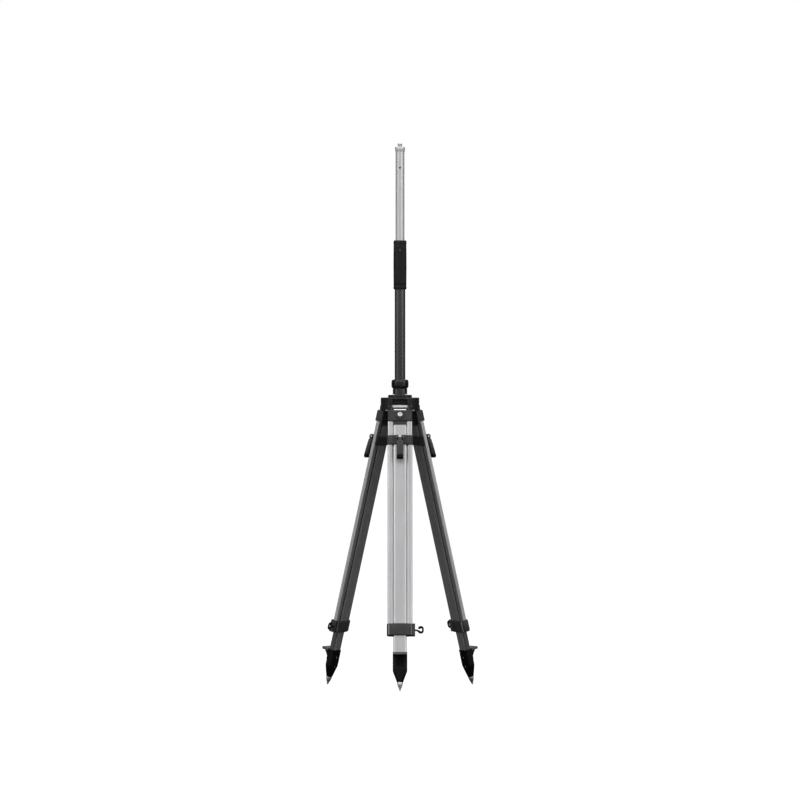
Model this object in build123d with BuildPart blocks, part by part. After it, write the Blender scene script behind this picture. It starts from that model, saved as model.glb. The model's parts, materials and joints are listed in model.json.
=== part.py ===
from build123d import *
from math import atan2, cos, degrees, hypot, radians, sin
import os

# Survey tripod with flat two-stage legs, carrying a telescopic pole.
# Millimetres and degrees. +Z is up and the ground is Z = 0. The origin is the centre of the
# footprint's rectangle, so the pole's axis stands behind it, at Y = POLE_Y.

# Whole object
POLE_Y = 49.4                       # pole axis, behind the middle of the footprint
POLE_TOP = 1800.0                   # top of the threaded stud
FOOT_RADIUS = 279.0                 # spike tips from the pole axis
LEG_AZIMUTHS = {"front": -90.0, "right": 30.0, "left": 150.0}

# Tripod head
HEAD_TOP = 958.0
HEAD_BOTTOM = 919.0
HEAD_RADIUS = 64.0
PLATE_BOTTOM = 938.6                # underside of the solid plate, above the leg slots
SLOT_HALF_WIDTH = 31.3              # leg slot between two corner posts
CORE_RADIUS = 33.0                  # clear space under the plate's middle
RIM_RECESS_DEPTH = 16.0             # recess in the rim above each leg
RIM_RECESS_HALF_WIDTH = 24.5
RIM_LIP = 4.5

# Leg hinge
HINGE_RADIUS = 48.0                 # axle from the pole axis
HINGE_HEIGHT = 928.6
AXLE_RADIUS = 5.8
AXLE_HALF_LENGTH = 40.0
RUNNING_FIT = 0.05                  # radial clearance of a shaft that turns or slides
EAR_INNER = 24.7
EAR_OUTER = 30.8
EAR_RADIUS = 9.2

# Distances along the leg, measured down from the axle
CASTING_SHOULDER = 13.8
CAP_BOLT_AT = 30.5
RAIL_TOP = 50.5
TONGUE_END = 60.5
GUIDE_TOP = 61.2
INNER_LEG_TOP = 64.0
UPPER_BAND = (98.5, 130.0)
LEVER_PIVOT = 110.0
LEVER_END = 185.0
LOWER_CLAMP = (733.0, 773.0)
RAIL_END = 742.0
WING_SCREW_AT = 754.0
SHOE_TOP = 835.5
INNER_LEG_END = 880.0
SHOE_TAPER = 890.0
SHOE_END = 929.5

# Leg sections, as half sizes: outward and sideways
CASTING_HALF_DEPTH = 13.0
CASTING_HALF_WIDTH = 40.0
TONGUE_HALF = (9.0, 21.9)
RAIL_DEPTH = 16.0
RAIL_WIDTH = 18.5
RAIL_CORNER = 5.0
RAIL_CENTRE = 31.55
RAIL_OUTER = RAIL_CENTRE + RAIL_WIDTH / 2
RAIL_WALL = 2.0
GROOVE_WIDTH = 5.0
GROOVE_DEPTH = 4.0
INNER_LEG_DEPTH = 22.0
INNER_LEG_WIDTH = 43.0
INNER_LEG_WALL = 2.0
SLIDE_GAP = 0.5                     # between a sliding piece and the opening round it
BAND_CROWN = 17.5                   # half depth of a clamp in its middle
BAND_EDGE = 10.6                    # half depth of a clamp at its ends
BAND_HALF_WIDTH = 43.7

# Cam lever
LEVER_OUT = 30.0                    # pivot, outward of the leg's middle plane
HUB_RADIUS = 8.0
HUB_HALF_WIDTH = 5.7
LEVER_HALF_WIDTH = 11.0
PIN_RADIUS = 2.5

# Wing screw
SCREW_RADIUS = 4.0
LOOP_AT = 68.5                      # middle of the curled handle, sideways from the leg's middle
LOOP_RISE = 2.2                     # the loop stands a little above the screw's axis
LOOP_HALF_WIDTH = 9.9
LOOP_HALF_HEIGHT = 12.2
LOOP_STRIP = 4.8
BOSS_START = 38.0                   # block for the wing screw, at one end of the lower clamp
BOSS_END = 50.0

# Foot
SHOE_DEPTH = 26.0
SHOE_WIDTH = 48.0
SPIKE_RADIUS = 10.0
TIP_RADIUS = 2.0
TREAD_REACH = 25.0
TREAD_THICKNESS = 8.0

# Pole base
FLANGE_RADIUS = 39.5
FLANGE_TOP = 967.0
NECK_RADIUS = 24.0
NECK_TOP = 988.0
NOSE_RADIUS = 21.5
NOSE_TOP = 1007.0
COLLAR_RADIUS = 28.35
COLLAR_TOP = 1018.0
SCREW_CIRCLE = 29.5

# Pole
CARBON_RADIUS = 17.7
CARBON_WALL = 2.5
CARBON_BOTTOM = 941.0
CARBON_TOP = 1405.0
GRIP_BOTTOM = 1316.0
GRIP_TOP = 1479.0
GRIP_WIDTH = 43.5
GRIP_DEPTH = 41.0
BUTTON_HEIGHT = 1446.0
UPPER_RADIUS = 14.75
UPPER_WALL = 2.0
UPPER_BOTTOM = 1290.0
UPPER_TOP = 1773.0
HOLE_PITCH = 273.0                  # between the two snap holes of the upper tube
HOLE_RADIUS = 3.25
CAP_RADIUS = 16.9
CAP_TOP = 1788.4
STUD_RADIUS = 7.94                  # 5/8 inch

LEG_TILT = degrees(atan2(FOOT_RADIUS - HINGE_RADIUS, HINGE_HEIGHT))
TIP_AT = (HINGE_HEIGHT - TIP_RADIUS * sin(radians(LEG_TILT))) / cos(radians(LEG_TILT))


def save(finished, name):
    """Labels a finished sub-part and writes its STEP file."""
    finished.part.label = name
    export_step(finished.part, f"parts/{name}.step")


def level(height):
    """Horizontal plane at a height, centred on the pole's axis."""
    return Plane(origin=(0, POLE_Y, height))


def upright(offset=0.0):
    """Upright plane facing the front leg, moved that way by the offset: x is right, y is up."""
    return Plane(origin=(0, POLE_Y - offset, 0), x_dir=(1, 0, 0), z_dir=(0, -1, 0))


def leg_frame(azimuth):
    """A leg's own frame at its axle: x outward, y along the axle, z up the leg."""
    outward = Vector(cos(radians(azimuth)), sin(radians(azimuth)), 0)
    upward = Vector(0, 0, 1)
    tilt = radians(LEG_TILT)
    return Plane(
        origin=Vector(0, POLE_Y, HINGE_HEIGHT) + outward * HINGE_RADIUS,
        x_dir=outward * cos(tilt) + upward * sin(tilt),
        z_dir=upward * cos(tilt) - outward * sin(tilt),
    )


def across(leg, distance):
    """Cross-section of a leg, a distance below its axle: x outward, y sideways."""
    return leg.offset(-distance)


def side(leg, sideways=0.0):
    """A leg seen from its side: x outward, y up the leg."""
    return Plane(leg.from_local_coords((0, sideways, 0)), x_dir=leg.x_dir, z_dir=leg.y_dir * -1)


def face(leg, outward=0.0):
    """A leg seen from outside: x sideways, y up the leg."""
    return Plane(leg.from_local_coords((outward, 0, 0)), x_dir=leg.y_dir, z_dir=leg.x_dir)


# Tripod head and the pole's base


def make_head():
    slot_reach = 50.0
    slot_start = 20.0
    with BuildPart() as head:
        with BuildSketch(level(HEAD_BOTTOM)):
            Circle(HEAD_RADIUS)
        extrude(amount=HEAD_TOP - HEAD_BOTTOM)
        fillet(head.edges().filter_by(GeomType.CIRCLE).sort_by(Axis.Z)[-1], 2.0)
        with BuildSketch(level(HEAD_BOTTOM)):
            Circle(CORE_RADIUS)
            with PolarLocations(slot_start + slot_reach / 2, 3, LEG_AZIMUTHS["right"]):
                Rectangle(slot_reach, 2 * SLOT_HALF_WIDTH)
        extrude(amount=PLATE_BOTTOM - HEAD_BOTTOM, mode=Mode.SUBTRACT)
        with BuildSketch(level(HEAD_TOP - RIM_LIP)):
            with PolarLocations(HEAD_RADIUS, 3, LEG_AZIMUTHS["right"]):
                Rectangle(2 * RIM_RECESS_DEPTH, 2 * RIM_RECESS_HALF_WIDTH)
        extrude(amount=PLATE_BOTTOM - HEAD_TOP + RIM_LIP, mode=Mode.SUBTRACT)
        with BuildSketch(level(HEAD_BOTTOM)):
            Circle(CARBON_RADIUS + SLIDE_GAP)
        extrude(amount=HEAD_TOP - HEAD_BOTTOM, mode=Mode.SUBTRACT)
        for azimuth in LEG_AZIMUTHS.values():
            with BuildSketch(side(leg_frame(azimuth))):
                Circle(AXLE_RADIUS)
            extrude(amount=AXLE_HALF_LENGTH, both=True, mode=Mode.SUBTRACT)
        with BuildSketch(level(HEAD_TOP)):
            with PolarLocations(SCREW_CIRCLE, 4, 45):
                Circle(2.6)
        extrude(amount=-12.0, mode=Mode.SUBTRACT)
    save(head, "tripod_head")


def make_pole_base():
    with BuildPart() as flange:
        with BuildSketch(level(HEAD_TOP)):
            Circle(FLANGE_RADIUS)
        extrude(amount=FLANGE_TOP - HEAD_TOP)
        fillet(flange.edges().sort_by(Axis.Z)[-1], 2.0)
        with BuildSketch(level(HEAD_TOP)):
            Circle(CARBON_RADIUS + SLIDE_GAP)
            with PolarLocations(SCREW_CIRCLE, 4, 45):
                Circle(2.6)
        extrude(amount=FLANGE_TOP - HEAD_TOP, mode=Mode.SUBTRACT)
    save(flange, "base_flange")

    with BuildPart() as screws:
        with BuildSketch(level(FLANGE_TOP)):
            with PolarLocations(SCREW_CIRCLE, 4, 45):
                Circle(4.2)
        extrude(amount=2.6)
        fillet(screws.edges().group_by(Axis.Z)[-1], 1.0)
        with BuildSketch(level(FLANGE_TOP)):
            with PolarLocations(SCREW_CIRCLE, 4, 45):
                Circle(2.5)
        extrude(amount=-20.0)
        with BuildSketch(level(FLANGE_TOP + 2.6)):
            with PolarLocations(SCREW_CIRCLE, 4, 45):
                RegularPolygon(1.7, 6)
        extrude(amount=-1.6, mode=Mode.SUBTRACT)
    save(screws, "flange_screws")

    # The neck carries the collar on its nose and guides the carbon tube in its bore.
    with BuildPart() as neck:
        with BuildSketch(level(FLANGE_TOP)):
            Circle(NECK_RADIUS)
        extrude(amount=NECK_TOP - FLANGE_TOP)
        chamfer(neck.edges().filter_by(GeomType.CIRCLE).sort_by(Axis.Z)[-1], 1.0)
        with BuildSketch(level(NECK_TOP)):
            Circle(NOSE_RADIUS)
        extrude(amount=NOSE_TOP - NECK_TOP)
        with BuildSketch(level(FLANGE_TOP)):
            Circle(CARBON_RADIUS + RUNNING_FIT)
        extrude(amount=NOSE_TOP - FLANGE_TOP, mode=Mode.SUBTRACT)
    save(neck, "socket_neck")

    # A slit tapered ring that the collar presses on the tube.
    with BuildPart() as sleeve:
        with BuildSketch(Plane(origin=(0, POLE_Y, 0), x_dir=(1, 0, 0), z_dir=(0, -1, 0))):
            Polygon(
                (CARBON_RADIUS + 0.15, NOSE_TOP + 0.1),
                (NOSE_RADIUS - 0.6, NOSE_TOP + 0.1),
                (CARBON_RADIUS + 1.2, COLLAR_TOP - 3.3),
                (CARBON_RADIUS + 0.15, COLLAR_TOP - 3.3),
                align=None,
            )
        revolve(axis=Axis((0, POLE_Y, 0), (0, 0, 1)))
        with BuildSketch(level(NOSE_TOP)):
            with Locations((0, CARBON_RADIUS + 2)):
                Rectangle(2.0, 8.0)
        extrude(amount=12.0, mode=Mode.SUBTRACT)
    save(sleeve, "clamp_sleeve")

    with BuildPart() as collar:
        with BuildSketch(level(NECK_TOP + 0.4)):
            Circle(COLLAR_RADIUS)
            with PolarLocations(COLLAR_RADIUS + 5.5, 8, 22.5):
                Circle(7.5, mode=Mode.SUBTRACT)
            fillet(vertices(), 2.0)
        extrude(amount=COLLAR_TOP - NECK_TOP - 0.4)
        chamfer(collar.edges().group_by(Axis.Z)[-1] + collar.edges().group_by(Axis.Z)[0], 1.2)
        with BuildSketch(level(NECK_TOP)):
            Circle(NOSE_RADIUS + RUNNING_FIT)
        extrude(amount=COLLAR_TOP - 3.0 - NECK_TOP, mode=Mode.SUBTRACT)
        with BuildSketch(level(COLLAR_TOP - 3.0)):
            Circle(CARBON_RADIUS + 0.3)
        extrude(amount=4.0, mode=Mode.SUBTRACT)
    save(collar, "locking_collar")


# Pole


def make_tube(name, radius, wall, bottom, top):
    with BuildPart() as tube:
        with BuildSketch(level(bottom)):
            Circle(radius)
            Circle(radius - wall, mode=Mode.SUBTRACT)
        extrude(amount=top - bottom)
    save(tube, name)


def make_pole():
    make_tube("carbon_tube", CARBON_RADIUS, CARBON_WALL, CARBON_BOTTOM, CARBON_TOP)
    bushing_top = GRIP_TOP - 8.0

    with BuildPart() as grip:
        with BuildSketch(level(GRIP_BOTTOM)):
            RectangleRounded(GRIP_WIDTH, GRIP_DEPTH, 15.0)
        extrude(amount=GRIP_TOP - GRIP_BOTTOM)
        chamfer(grip.edges().group_by(Axis.Z)[-1] + grip.edges().group_by(Axis.Z)[0], 2.5)
        with BuildSketch(level(GRIP_BOTTOM)):
            Circle(CARBON_RADIUS + RUNNING_FIT)
        extrude(amount=bushing_top - GRIP_BOTTOM, mode=Mode.SUBTRACT)
        with BuildSketch(level(bushing_top)):
            Circle(UPPER_RADIUS + SLIDE_GAP)
        extrude(amount=10.0, mode=Mode.SUBTRACT)
        with BuildSketch(upright(10.0)):
            with Locations((0, BUTTON_HEIGHT)):
                Circle(4.6)
        extrude(amount=15.0, mode=Mode.SUBTRACT)
    save(grip, "grip")

    with BuildPart() as bushing:
        with BuildSketch(level(CARBON_TOP + 0.2)):
            Circle(CARBON_RADIUS)
            Circle(UPPER_RADIUS + RUNNING_FIT, mode=Mode.SUBTRACT)
        extrude(amount=bushing_top - CARBON_TOP - 0.4)
        with BuildSketch(upright(10.0)):
            with Locations((0, BUTTON_HEIGHT)):
                Circle(4.6)
        extrude(amount=15.0, mode=Mode.SUBTRACT)
    save(bushing, "tube_bushing")

    # Plunger: a nose for the snap holes, and a cap that the fingers pull.
    nose_from = UPPER_RADIUS + 0.3
    cap_from = GRIP_DEPTH / 2 + 0.4
    with BuildPart() as button:
        with BuildSketch(upright(nose_from)):
            with Locations((0, BUTTON_HEIGHT)):
                Circle(3.0)
        extrude(amount=cap_from - nose_from)
        with BuildSketch(upright(cap_from)):
            with Locations((0, BUTTON_HEIGHT)):
                Circle(5.0)
        extrude(amount=2.2)
        fillet(button.edges().group_by(Axis.Y)[0], 1.0)
    save(button, "snap_button")

    # Spring round the plunger's stem, as a thin sleeve of its closed coils.
    with BuildPart() as spring:
        with BuildSketch(upright(nose_from + 0.6)):
            with Locations((0, BUTTON_HEIGHT)):
                Circle(4.6)
                Circle(3.5, mode=Mode.SUBTRACT)
        extrude(amount=4.0)
    save(spring, "button_spring")

    with BuildPart() as upper:
        with BuildSketch(level(UPPER_BOTTOM)):
            Circle(UPPER_RADIUS)
            Circle(UPPER_RADIUS - UPPER_WALL, mode=Mode.SUBTRACT)
        extrude(amount=UPPER_TOP - UPPER_BOTTOM)
        with BuildSketch(upright()):
            with Locations((0, BUTTON_HEIGHT), (0, BUTTON_HEIGHT + HOLE_PITCH)):
                Circle(HOLE_RADIUS)
        extrude(amount=20.0, mode=Mode.SUBTRACT)
    save(upper, "upper_tube")

    with BuildPart() as plug:
        with BuildSketch(level(UPPER_BOTTOM - 3.0)):
            Circle(UPPER_RADIUS)
        extrude(amount=3.0)
        with BuildSketch(level(UPPER_BOTTOM)):
            Circle(UPPER_RADIUS - UPPER_WALL)
        extrude(amount=15.0)
    save(plug, "upper_tube_plug")

    with BuildPart() as cap:
        with BuildSketch(upright()):
            with BuildLine():
                Polyline(
                    (0, UPPER_TOP - 25.0),
                    (UPPER_RADIUS - UPPER_WALL, UPPER_TOP - 25.0),
                    (UPPER_RADIUS - UPPER_WALL, UPPER_TOP),
                    (UPPER_RADIUS + 0.6, UPPER_TOP),
                    (CAP_RADIUS, UPPER_TOP + 8.4),
                    (CAP_RADIUS, CAP_TOP - 1.0),
                    (CAP_RADIUS - 1.0, CAP_TOP),
                    (0, CAP_TOP),
                    close=True,
                )
            make_face()
        revolve(axis=Axis((0, POLE_Y, 0), (0, 0, 1)))
        with BuildSketch(level(CAP_TOP)):
            Circle(6.0)
        extrude(amount=-18.0, mode=Mode.SUBTRACT)
    save(cap, "top_cap")

    with BuildPart() as stud:
        with BuildSketch(level(CAP_TOP)):
            Circle(STUD_RADIUS)
        extrude(amount=POLE_TOP - CAP_TOP)
        chamfer(stud.edges().group_by(Axis.Z)[-1], 1.0)
        with BuildSketch(level(CAP_TOP)):
            Circle(6.0)
        extrude(amount=-18.0)
    save(stud, "top_stud")


# Legs


def make_casting(leg, name):
    with BuildPart() as casting:
        with BuildSketch(face(leg)):
            with Locations((0, -(CASTING_SHOULDER + RAIL_TOP) / 2)):
                RectangleRounded(2 * CASTING_HALF_WIDTH, RAIL_TOP - CASTING_SHOULDER, 3.5)
            with Locations((0, -RAIL_TOP + 6.0)):
                Rectangle(2 * CASTING_HALF_WIDTH, 12.0)
        extrude(amount=CASTING_HALF_DEPTH, both=True)
        outer = casting.faces().sort_by(Axis(leg.origin, leg.x_dir))
        fillet(outer[-1].edges() + outer[0].edges(), 2.5)
        with BuildSketch(face(leg)):
            with Locations((0, -(RAIL_TOP + TONGUE_END) / 2)):
                Rectangle(2 * TONGUE_HALF[1], TONGUE_END - RAIL_TOP)
        extrude(amount=TONGUE_HALF[0], both=True)
        for sideways in (-1, 1):
            with BuildSketch(side(leg, sideways * (EAR_INNER + EAR_OUTER) / 2)):
                Circle(EAR_RADIUS)
                with Locations((0, -EAR_RADIUS)):
                    Rectangle(2 * EAR_RADIUS, 2 * EAR_RADIUS)
            extrude(amount=(EAR_OUTER - EAR_INNER) / 2, both=True)
        with BuildSketch(side(leg)):
            Circle(AXLE_RADIUS + RUNNING_FIT)
        extrude(amount=EAR_OUTER + 1, both=True, mode=Mode.SUBTRACT)
        with BuildSketch(face(leg, CASTING_HALF_DEPTH)):
            with Locations((0, -CAP_BOLT_AT)):
                Circle(16.0)
        extrude(amount=3.0, taper=20)
        with BuildSketch(face(leg, CASTING_HALF_DEPTH + 3.0)):
            with Locations((0, -CAP_BOLT_AT)):
                Circle(4.1)
        extrude(amount=-30.0, mode=Mode.SUBTRACT)
    save(casting, f"leg_casting_{name}")


def make_cap_bolt(leg, name):
    seat = CASTING_HALF_DEPTH + 3.0
    with BuildPart() as bolt:
        with BuildSketch(face(leg, seat)):
            with Locations((0, -CAP_BOLT_AT)):
                Circle(8.0)
        extrude(amount=5.0)
        fillet(bolt.faces().sort_by(Axis(leg.origin, leg.x_dir))[-1].edges(), 2.0)
        with BuildSketch(face(leg, seat + 5.0)):
            with Locations((0, -CAP_BOLT_AT)):
                RegularPolygon(4.0, 6)
        extrude(amount=-3.5, mode=Mode.SUBTRACT)
        with BuildSketch(face(leg, seat)):
            with Locations((0, -CAP_BOLT_AT)):
                Circle(4.0)
        extrude(amount=-24.0)
    save(bolt, f"cap_bolt_{name}")


def make_axle(leg, name):
    with BuildPart() as axle:
        with BuildSketch(side(leg)):
            Circle(AXLE_RADIUS)
        extrude(amount=AXLE_HALF_LENGTH, both=True)
        chamfer(axle.edges().filter_by(GeomType.CIRCLE), 0.8)
    save(axle, f"hinge_axle_{name}")


def make_rails(leg, name):
    """Two hollow rails, each with a guide groove on its inner side."""
    groove_bottom = RAIL_CENTRE - RAIL_WIDTH / 2 + GROOVE_DEPTH
    with BuildPart() as rails:
        with BuildSketch(across(leg, RAIL_END)):
            with Locations((0, RAIL_CENTRE), (0, -RAIL_CENTRE)):
                RectangleRounded(RAIL_DEPTH, RAIL_WIDTH, RAIL_CORNER)
            with Locations((0, 0)):
                Rectangle(GROOVE_WIDTH, 2 * groove_bottom, mode=Mode.SUBTRACT)
            hollow_from = groove_bottom + RAIL_WALL
            hollow_to = RAIL_OUTER - RAIL_WALL
            with Locations((0, (hollow_from + hollow_to) / 2), (0, -(hollow_from + hollow_to) / 2)):
                RectangleRounded(
                    RAIL_DEPTH - 2 * RAIL_WALL,
                    hollow_to - hollow_from,
                    RAIL_CORNER - RAIL_WALL,
                    mode=Mode.SUBTRACT,
                )
        extrude(amount=RAIL_END - RAIL_TOP)
    save(rails, f"leg_rails_{name}")


def clamp_outline():
    """Lens-shaped outline of a clamp, deeper in its middle than at its ends."""
    corner = BAND_HALF_WIDTH - 3.0
    with BuildSketch() as outline:
        with BuildLine():
            front = ThreePointArc((BAND_EDGE, -corner), (BAND_CROWN, 0), (BAND_EDGE, corner))
            right = ThreePointArc(front @ 1, (0, BAND_HALF_WIDTH), (-BAND_EDGE, corner))
            back = ThreePointArc(right @ 1, (-BAND_CROWN, 0), (-BAND_EDGE, -corner))
            ThreePointArc(back @ 1, (0, -BAND_HALF_WIDTH), front @ 0)
        make_face()
    return outline.sketch_local


def make_upper_band(leg, name):
    """Clamp plates in front of and behind the rails, with the lever's lugs and the brake pad's window."""
    top, bottom = UPPER_BAND
    with BuildPart() as band:
        with BuildSketch(across(leg, bottom)):
            add(clamp_outline())
        extrude(amount=bottom - top)
        for sideways in (-1, 1):
            middle = sideways * (HUB_HALF_WIDTH + 0.3 + LEVER_HALF_WIDTH) / 2
            with BuildSketch(side(leg, middle)):
                with Locations((LEVER_OUT, -LEVER_PIVOT)):
                    Circle(HUB_RADIUS)
                with Locations((LEVER_OUT - 7.0, -LEVER_PIVOT)):
                    Rectangle(14.0, 2 * HUB_RADIUS)
            extrude(amount=(LEVER_HALF_WIDTH - HUB_HALF_WIDTH - 0.3) / 2, both=True)
        with BuildSketch(across(leg, bottom)):
            Rectangle(RAIL_DEPTH, 2 * BAND_HALF_WIDTH + 2.0)
            Rectangle(INNER_LEG_DEPTH + 2 * SLIDE_GAP, 2 * (RAIL_OUTER - RAIL_WIDTH))
        extrude(amount=bottom - top, mode=Mode.SUBTRACT)
        with BuildSketch(face(leg)):
            with Locations((0, -LEVER_PIVOT)):
                Rectangle(2 * HUB_HALF_WIDTH + 0.6, 2 * HUB_RADIUS)
        extrude(amount=BAND_CROWN + 1.0, mode=Mode.SUBTRACT)
        with BuildSketch(side(leg)):
            with Locations((LEVER_OUT, -LEVER_PIVOT)):
                Circle(PIN_RADIUS)
        extrude(amount=LEVER_HALF_WIDTH + 1, both=True, mode=Mode.SUBTRACT)
    save(band, f"upper_band_{name}")


def make_brake_pad(leg, name):
    """Block in the band's window, between the lever's hub and the inner leg."""
    rear = INNER_LEG_DEPTH / 2 + 0.3
    front = LEVER_OUT - HUB_RADIUS - 0.3
    with BuildPart() as pad:
        with BuildSketch(face(leg, rear)):
            with Locations((0, -LEVER_PIVOT)):
                Rectangle(2 * HUB_HALF_WIDTH + 0.2, 2 * HUB_RADIUS - 0.4)
        extrude(amount=front - rear)
    save(pad, f"brake_pad_{name}")


def make_lever(leg, name):
    """Hub between the lugs, and below it a wide channel-shaped arm that lies along the leg."""
    arm_top = LEVER_PIVOT + 10.0
    with BuildPart() as lever:
        with BuildSketch(side(leg)):
            with Locations((LEVER_OUT, -LEVER_PIVOT)):
                Circle(HUB_RADIUS)
            Polygon(
                (LEVER_OUT - 5.0, -LEVER_PIVOT - 4.0),
                (LEVER_OUT + HUB_RADIUS, -LEVER_PIVOT),
                (LEVER_OUT + 9.5, -arm_top - 6.0),
                (LEVER_OUT - 4.0, -arm_top - 6.0),
                align=None,
            )
        extrude(amount=HUB_HALF_WIDTH, both=True)
        with BuildSketch(side(leg)):
            with BuildLine():
                Polyline(
                    (LEVER_OUT - 4.0, -arm_top),
                    (LEVER_OUT + 9.0, -arm_top),
                    (LEVER_OUT + 13.0, -LEVER_END + 14.0),
                    (LEVER_OUT + 13.0, -LEVER_END),
                    (LEVER_OUT + 1.0, -LEVER_END),
                    (LEVER_OUT - 1.0, -LEVER_END + 14.0),
                    close=True,
                )
            make_face()
            fillet(vertices(), 1.5)
        extrude(amount=LEVER_HALF_WIDTH, both=True)
        with BuildSketch(side(leg)):
            with BuildLine():
                Polyline(
                    (LEVER_OUT - 6.0, -arm_top - 8.0),
                    (LEVER_OUT + 6.5, -arm_top - 8.0),
                    (LEVER_OUT + 9.5, -LEVER_END + 18.0),
                    (LEVER_OUT - 6.0, -LEVER_END + 18.0),
                    close=True,
                )
            make_face()
        extrude(amount=LEVER_HALF_WIDTH - 3.0, both=True, mode=Mode.SUBTRACT)
        with BuildSketch(side(leg)):
            with Locations((LEVER_OUT, -LEVER_PIVOT)):
                Circle(PIN_RADIUS + RUNNING_FIT)
        extrude(amount=LEVER_HALF_WIDTH, both=True, mode=Mode.SUBTRACT)
    save(lever, f"cam_lever_{name}")


def make_lever_pin(leg, name):
    with BuildPart() as pin:
        with BuildSketch(side(leg)):
            with Locations((LEVER_OUT, -LEVER_PIVOT)):
                Circle(PIN_RADIUS)
        extrude(amount=LEVER_HALF_WIDTH + 0.8, both=True)
        chamfer(pin.edges().filter_by(GeomType.CIRCLE), 0.4)
    save(pin, f"lever_pin_{name}")


def make_lower_clamp(leg, name):
    """Clamp on the rails' ends that guides the inner leg, with a tapped boss for the wing screw."""
    top, bottom = LOWER_CLAMP
    with BuildPart() as clamp:
        with BuildSketch(across(leg, bottom)):
            add(clamp_outline())
        extrude(amount=bottom - top)
        chamfer(clamp.faces().filter_by(Plane(leg.origin, z_dir=leg.z_dir)).edges(), 1.2)
        with BuildSketch(across(leg, bottom)):
            with Locations((0, (BOSS_START + BOSS_END) / 2)):
                RectangleRounded(2 * BAND_EDGE, BOSS_END - BOSS_START, 2.0)
        extrude(amount=bottom - top)
        with BuildSketch(across(leg, RAIL_END)):
            Rectangle(RAIL_DEPTH, 2 * RAIL_OUTER)
        extrude(amount=RAIL_END - top, mode=Mode.SUBTRACT)
        with BuildSketch(across(leg, bottom)):
            Rectangle(INNER_LEG_DEPTH + 2 * SLIDE_GAP, INNER_LEG_WIDTH + 2 * SLIDE_GAP)
        extrude(amount=bottom - top, mode=Mode.SUBTRACT)
        with BuildSketch(side(leg, BOSS_END)):
            with Locations((0, -WING_SCREW_AT)):
                Circle(SCREW_RADIUS + RUNNING_FIT)
        extrude(amount=BOSS_END - 20.0, mode=Mode.SUBTRACT)
    save(clamp, f"lower_clamp_{name}")


def make_wing_screw(leg, name):
    neck_from = BOSS_END + 0.6
    with BuildPart() as screw:
        with BuildSketch(side(leg, neck_from)):
            with Locations((0, -WING_SCREW_AT)):
                Circle(SCREW_RADIUS)
        extrude(amount=neck_from - INNER_LEG_WIDTH / 2 - 0.8)
        with BuildSketch(side(leg, LOOP_AT - LOOP_HALF_WIDTH - 1.5)):
            with Locations((0, -WING_SCREW_AT)):
                Circle(LOOP_STRIP / 2)
        extrude(amount=LOOP_AT - LOOP_HALF_WIDTH - 1.5 - neck_from)
        # Curled handle: an oval loop, open beside the neck and with a thick rounded end.
        with BuildSketch(face(leg)):
            with Locations((LOOP_AT, -WING_SCREW_AT + LOOP_RISE)):
                Ellipse(LOOP_HALF_WIDTH, LOOP_HALF_HEIGHT)
                Ellipse(
                    LOOP_HALF_WIDTH - LOOP_STRIP, LOOP_HALF_HEIGHT - LOOP_STRIP, mode=Mode.SUBTRACT
                )
            with Locations((LOOP_AT, -WING_SCREW_AT)):
                Polygon((0, 2.5), (-12.0, 7.5), (-12.0, -5.5), align=None, mode=Mode.SUBTRACT)
                Polygon(
                    (-13.0, 2.35), (-11.0, 2.35), (-4.5, -3.2), (-7.0, -8.0), (-12.3, -2.35), (-13.0, -2.35),
                    align=None,
                )
            with Locations((LOOP_AT - 6.3, -WING_SCREW_AT + 8.0)):
                Circle(3.5)
        extrude(amount=3.2, both=True)
    save(screw, f"wing_screw_{name}")


def make_inner_leg(leg, name):
    with BuildPart() as inner:
        with BuildSketch(across(leg, INNER_LEG_END)):
            RectangleRounded(INNER_LEG_DEPTH, INNER_LEG_WIDTH, 6.0)
            RectangleRounded(
                INNER_LEG_DEPTH - 2 * INNER_LEG_WALL,
                INNER_LEG_WIDTH - 2 * INNER_LEG_WALL,
                4.0,
                mode=Mode.SUBTRACT,
            )
        extrude(amount=INNER_LEG_END - INNER_LEG_TOP)
    save(inner, f"inner_leg_{name}")

    # Plastic end piece of the inner leg, with a tongue in each rail's groove.
    tongue = 2 * (RAIL_CENTRE - RAIL_WIDTH / 2 + GROOVE_DEPTH - 0.4)
    with BuildPart() as guide:
        with BuildSketch(across(leg, INNER_LEG_TOP)):
            RectangleRounded(INNER_LEG_DEPTH, INNER_LEG_WIDTH, 6.0)
            Rectangle(GROOVE_WIDTH - 0.8, tongue)
        extrude(amount=INNER_LEG_TOP - GUIDE_TOP)
        with BuildSketch(across(leg, INNER_LEG_TOP)):
            RectangleRounded(
                INNER_LEG_DEPTH - 2 * INNER_LEG_WALL,
                INNER_LEG_WIDTH - 2 * INNER_LEG_WALL,
                4.0,
            )
        extrude(amount=-18.0)
    save(guide, f"guide_shoe_{name}")


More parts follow.
